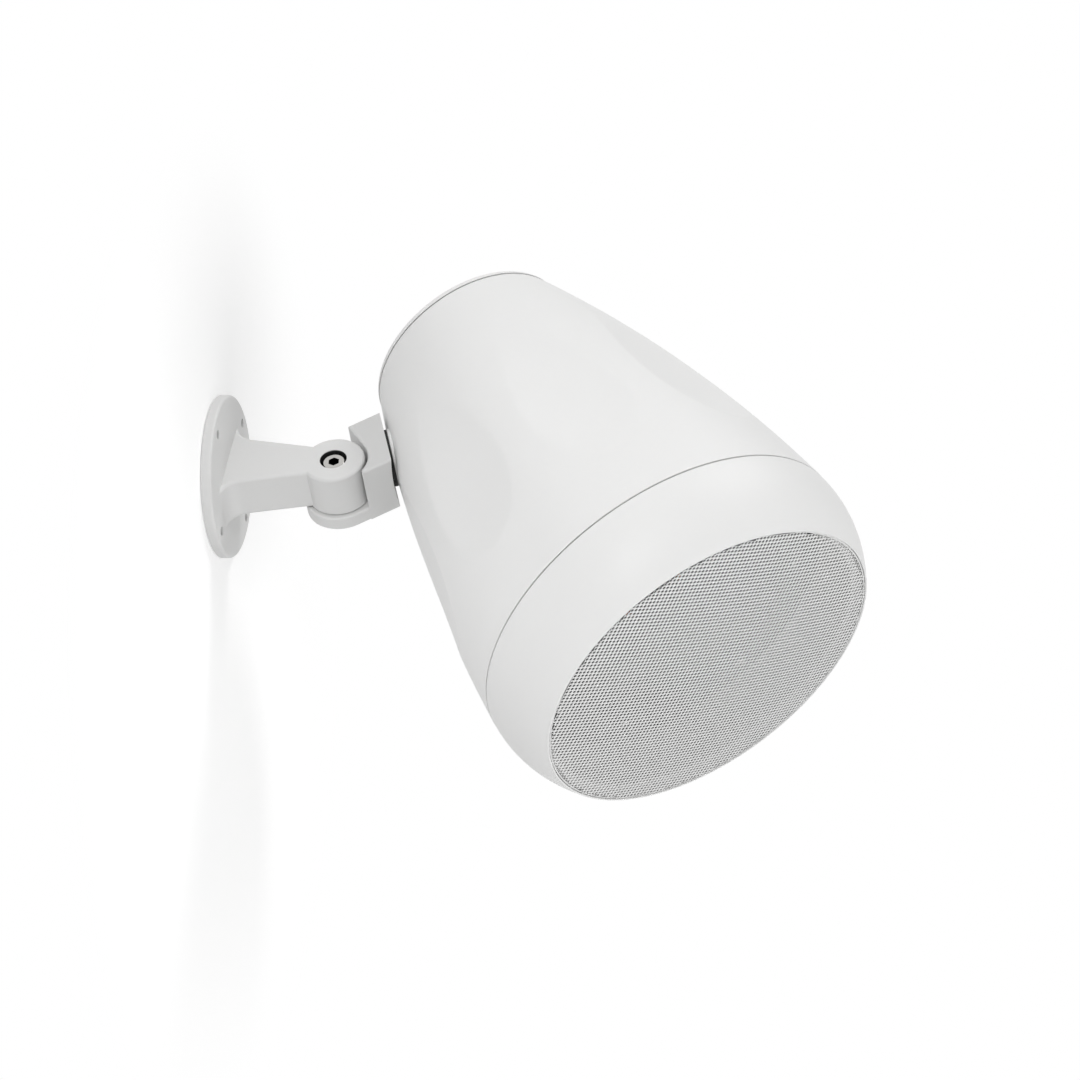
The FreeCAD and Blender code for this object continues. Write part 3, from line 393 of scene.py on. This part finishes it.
def front_ring():
    """The rounded ring from the front seam to the grille, with its spigot inside the housing."""
    seam = RING_FOOT + HOUSING_EDGE
    foot = quarter((FRONT_R - HOUSING_EDGE, seam), HOUSING_EDGE, -math.pi / 2, EDGE_POINTS)[:-1]
    side = bend((FRONT_R, seam), RING_SHOULDER, (RING_LIP_R, RING_LIP_S - RING_LIP), RING_SIDE_POINTS)
    lip = quarter((RING_LIP_R - RING_LIP, RING_LIP_S - RING_LIP), RING_LIP, 0, LIP_POINTS)
    bore = [(GRILLE_BORE_R + GRILLE_BORE_EDGE, RING_LIP_S), (GRILLE_BORE_R, RING_LIP_S - GRILLE_BORE_EDGE),
            (GRILLE_BORE_R, SKIRT_FOOT)]
    inside = [(RING_INNER_R, SKIRT_FOOT), (RING_INNER_R, BAFFLE_SEAT_S), (POCKET_R, BAFFLE_SEAT_S)]
    spigot = [(POCKET_R, SPIGOT_FOOT), (SPIGOT_R, SPIGOT_FOOT), (SPIGOT_R, RING_FOOT)]
    ring = turned(foot + side + lip + bore + inside + spigot, RING_STEPS)
    show("front_ring_turned", ring, "housing_paint", "front_ring", 35.0)


def grille_height(radius):
    """How high the domed sheet lies at a radius."""
    ball = (GRILLE_R ** 2 + GRILLE_DOME ** 2) / (2 * GRILLE_DOME)
    return GRILLE_EDGE_S + GRILLE_DOME - ball + math.sqrt(ball * ball - min(radius, GRILLE_R) ** 2)


def punched_square(mesh):
    """One square of the sheet with its round hole."""
    bmesh.ops.create_circle(mesh, segments=4, radius=HOLE_PITCH / math.sqrt(2),
                            matrix=Matrix.Rotation(math.pi / 4, 4, "Z"))
    hole = bmesh.ops.create_circle(mesh, segments=HOLE_SIDES, radius=HOLE_R,
                                   matrix=Matrix.Rotation(math.pi / HOLE_SIDES, 4, "Z"))["verts"]
    bmesh.ops.bridge_loops(mesh, edges=mesh.edges)
    mesh.normal_update()
    bmesh.ops.reverse_faces(mesh, faces=[face for face in mesh.faces if face.normal.z < 0])
    rim = [edge for edge in mesh.edges if edge.verts[0] in hole and edge.verts[1] in hole]
    wall = bmesh.ops.extrude_edge_only(mesh, edges=rim)["geom"]
    low = [item for item in wall if isinstance(item, bmesh.types.BMVert)]
    bmesh.ops.translate(mesh, verts=low, vec=(0, 0, -GRILLE_T))


def repeat(mesh, count, step):
    """Copies everything in a row, with the first one in its middle."""
    first = mesh.verts[:] + mesh.edges[:] + mesh.faces[:]
    for i in range(1, count + 1):
        for way in (-i, i):
            copy = bmesh.ops.duplicate(mesh, geom=first)["geom"]
            verts = [item for item in copy if isinstance(item, bmesh.types.BMVert)]
            bmesh.ops.translate(mesh, verts=verts, vec=step * way)


def grille():
    """A domed sheet: a square lattice of round holes inside a plain rim with a skirt."""
    sheet = bmesh.new()
    punched_square(sheet)
    count = int(LATTICE_R / HOLE_PITCH)
    repeat(sheet, count, Vector((HOLE_PITCH, 0, 0)))
    repeat(sheet, count, Vector((0, HOLE_PITCH, 0)))
    spare = []
    for face in sheet.faces:
        middle = face.calc_center_bounds()
        square = (round(middle.x / HOLE_PITCH), round(middle.y / HOLE_PITCH))
        if math.hypot(*square) * HOLE_PITCH > LATTICE_R:
            spare.append(face)
    bmesh.ops.delete(sheet, geom=spare, context="FACES")
    bmesh.ops.remove_doubles(sheet, verts=sheet.verts, dist=0.01)
    bmesh.ops.rotate(sheet, verts=sheet.verts, matrix=Matrix.Rotation(LATTICE_TURN, 3, "Z"))
    for vert in sheet.verts:
        vert.co.z += grille_height(vert.co.xy.length)
    edge = GRILLE_R - GRILLE_RIM_W
    rim = [(edge, grille_height(edge) - GRILLE_RIM_SINK),
           (GRILLE_R - GRILLE_RIM_EDGE, grille_height(GRILLE_R) - GRILLE_RIM_EDGE / 2),
           (GRILLE_R, GRILLE_EDGE_S - 2 * GRILLE_RIM_EDGE), (GRILLE_R, SKIRT_FOOT),
           (GRILLE_R - SKIRT_T, SKIRT_FOOT), (GRILLE_R - SKIRT_T, GRILLE_EDGE_S - SKIRT_T),
           (edge, grille_height(edge) - GRILLE_T)]
    join(sheet, turned(rim, RIM_STEPS))
    show("grille_sheet", sheet, "grille_paint", "grille", 30.0)


housing()
front_ring()
grille()


# Stage, light and camera, in metres

WALL_HALF = 4.0
WALL_GAP = 0.0005
WALL_GLOW = 0.28
SHADOW_CENTRE = (0, -0.06, -0.06)
SHADOW_FULL = 0.13
SHADOW_END = 0.3
WORLD_LIGHT = 0.45


def wall_white():
    """A pale wall, seen white but for the object's shadow, which fades out with distance. It is clear from
    behind, and lets light reach the back of the wall plate."""
    made = bpy.data.materials.new("wall_white")
    nodes = Nodes(made)
    shader = nodes.tree.nodes["Principled BSDF"]
    nodes.feed(shader, {"Base Color": (0.82, 0.82, 0.82, 1), "Roughness": 0.9, "Specular IOR Level": 0})
    paint = nodes.out(shader, "BSDF")
    glow = nodes.out(nodes.add("Emission", {}, {"Strength": WALL_GLOW}), "Emission")
    white = nodes.out(nodes.add("Emission", {}, {}), "Emission")
    clear = nodes.out(nodes.add("BsdfTransparent", {}, {}), "BSDF")
    shaded = nodes.out(nodes.add("AddShader", {}, {0: paint, 1: glow}), "Shader")
    place = nodes.place()
    bare = nodes.rise(nodes.distance(place, SHADOW_CENTRE), SHADOW_FULL, SHADOW_END, "SMOOTHSTEP")
    behind = nodes.out(nodes.add("NewGeometry", {}, {}), "Backfacing")
    shown = nodes.mix_shader(behind, nodes.mix_shader(bare, shaded, white), clear)
    uncovered = nodes.rise(nodes.distance(place, (0, 0, 0)), (PLATE_R - 1.5) * MM, (PLATE_R - 1) * MM)
    lit = nodes.mix_shader(uncovered, clear, paint)
    surface = nodes.mix_shader(nodes.seen_directly(), lit, shown)
    nodes.feed(nodes.tree.nodes["Material Output"], {"Surface": surface})
    return made


def wall():
    sheet = bmesh.new()
    upright = Matrix.Translation((-WALL_GAP, 0, 0)) @ Matrix.Rotation(math.pi / 2, 4, "Y")
    bmesh.ops.create_grid(sheet, x_segments=1, y_segments=1, size=WALL_HALF, matrix=upright)
    data = bpy.data.meshes.new("wall")
    sheet.to_mesh(data)
    sheet.free()
    data.materials.append(wall_white())
    made = bpy.data.objects.new("wall", data)
    bpy.context.scene.collection.objects.link(made)


def studio():
    world = bpy.data.worlds.new("studio")
    bpy.context.scene.world = world
    nodes = Nodes(world)
    light = nodes.tree.nodes["Background"]
    nodes.feed(light, {"Color": (1, 1, 1, 1), "Strength": WORLD_LIGHT})
    seen = nodes.add("Background", {}, {"Color": (1, 1, 1, 1)})
    surface = nodes.mix_shader(nodes.seen_directly(), nodes.out(light, "Background"),
                               nodes.out(seen, "Background"))
    nodes.feed(nodes.tree.nodes["World Output"], {"Surface": surface})


def area_light(name, place, target, size, power):
    data = bpy.data.lights.new(name, "AREA")
    data.shape = "DISK"
    data.size = size
    data.energy = power
    made = bpy.data.objects.new(name, data)
    made.location = place
    made.rotation_euler = (Vector(target) - Vector(place)).to_track_quat("-Z", "Y").to_euler()
    bpy.context.scene.collection.objects.link(made)


wall()
studio()
area_light("key", (0.02, -0.75, 1.5), (0.15, 0, 0), 0.5, 16)
area_light("back", (1.4, 1.7, 1.5), (0.05, -0.03, -0.05), 0.5, 20)
area_light("front", (0.5, -2.2, 0.1), (0.15, 0, 0), 2.0, 4)
area_light("fill", (1.7, -1.2, -0.8), (0.2, 0, 0), 1.6, 19)

CAMERA_PLACE = (0.52484, -1.44554, 1.33168)
CAMERA_TURN_DEG = (46.6602, 6.7196, 6.9894)
camera_data = bpy.data.cameras.new("camera")
camera_data.sensor_width = 36.0
camera_data.lens = 114.76
camera_data.clip_end = 50
camera = bpy.data.objects.new("camera", camera_data)
camera.location = CAMERA_PLACE
camera.rotation_euler = [math.radians(angle) for angle in CAMERA_TURN_DEG]
bpy.context.scene.collection.objects.link(camera)
bpy.context.scene.camera = camera
bpy.context.scene.view_settings.view_transform = "Standard"
